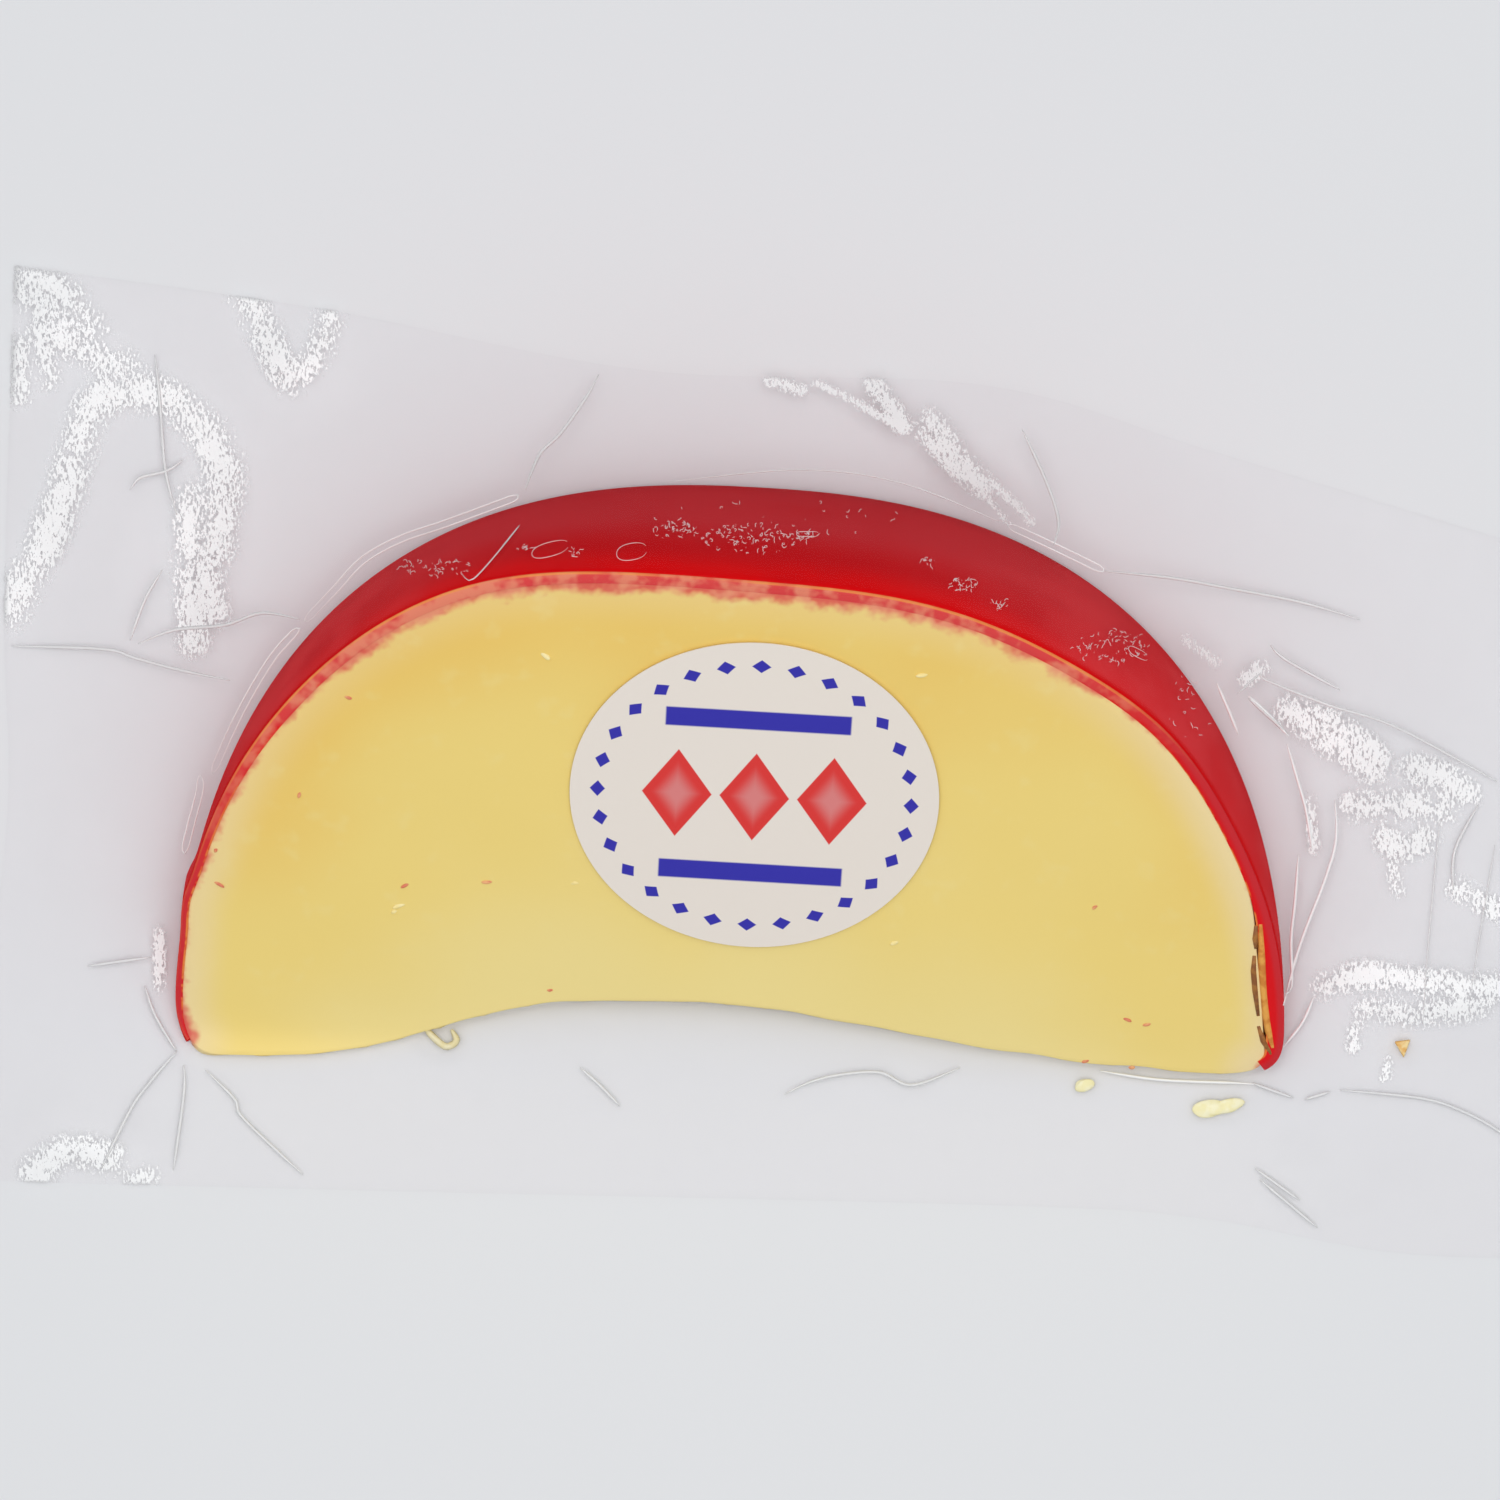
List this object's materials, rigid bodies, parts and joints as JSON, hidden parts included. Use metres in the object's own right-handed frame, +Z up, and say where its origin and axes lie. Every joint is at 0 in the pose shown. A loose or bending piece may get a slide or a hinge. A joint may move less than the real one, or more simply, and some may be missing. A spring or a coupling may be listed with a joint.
{
  "type": "vacuum-packed wedge of waxed ball cheese",
  "caption": "Wedge of ball cheese with a red wax rind, sealed in a clear vacuum pouch, with a round label on its upper cut face.",
  "frame": {"origin": "middle of the pouch's footprint, on the table", "axes": "+X along the pouch, +Y across it towards the wedge's thick side, +Z up"},
  "size_m": [0.2081, 0.124, 0.0414],
  "materials": {
    "pouch_film": "clear gloss film over cheese and wax",
    "label_paper": "matt",
    "cheese_paste": "satin",
    "red_wax": "glossy"
  },
  "bodies": {
    "root": {"vacuum_pouch": "pouch_film", "label": "label_paper"}
  },
  "joints": []
}
